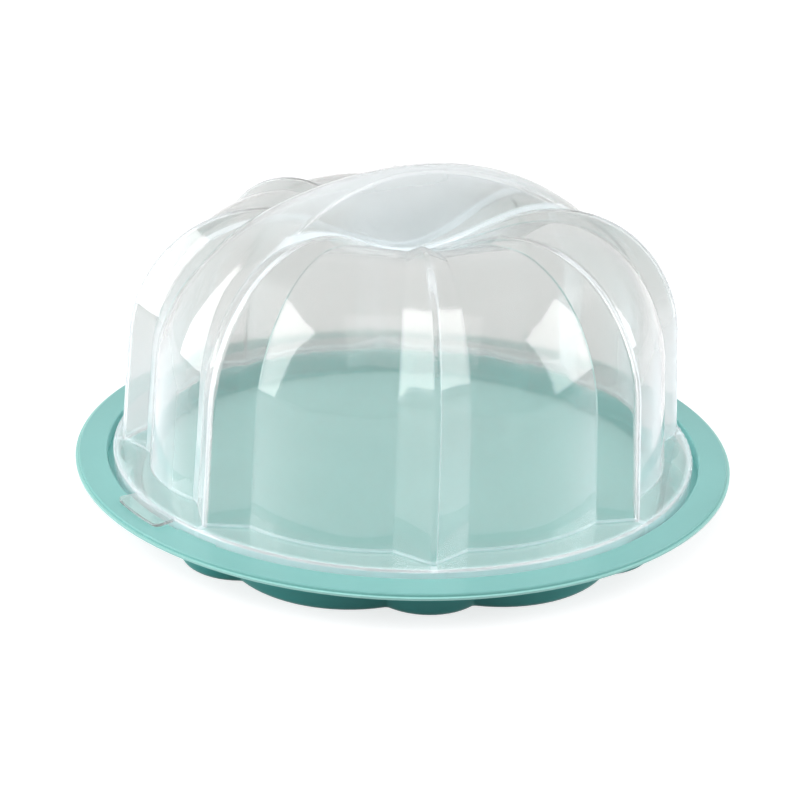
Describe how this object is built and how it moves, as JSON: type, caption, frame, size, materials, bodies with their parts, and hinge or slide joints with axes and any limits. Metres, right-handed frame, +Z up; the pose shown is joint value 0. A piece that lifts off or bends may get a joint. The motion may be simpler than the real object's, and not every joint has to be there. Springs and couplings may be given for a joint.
{
  "type": "cake carrier",
  "caption": "Fluted translucent dome cover with a moulded handle strap, lifting off a round scalloped serving tray; holds and carries a ring cake.",
  "frame": {"origin": "on the table under the middle of the tray", "axes": "+Z up, square to the tray; the handle strap of the cover runs along X"},
  "size_m": [0.33, 0.33, 0.165],
  "materials": {
    "cover_plastic": "clear, slightly milky, glossy",
    "tray_plastic": "satin"
  },
  "bodies": {
    "tray": {"tray": "tray_plastic"},
    "cover": {"cover": "cover_plastic"}
  },
  "joints": [
    {"name": "cover_lift", "type": "slide", "parent": "tray", "child": "cover", "axis": [0, 0, 1], "range_m": [0, 0.18]}
  ]
}
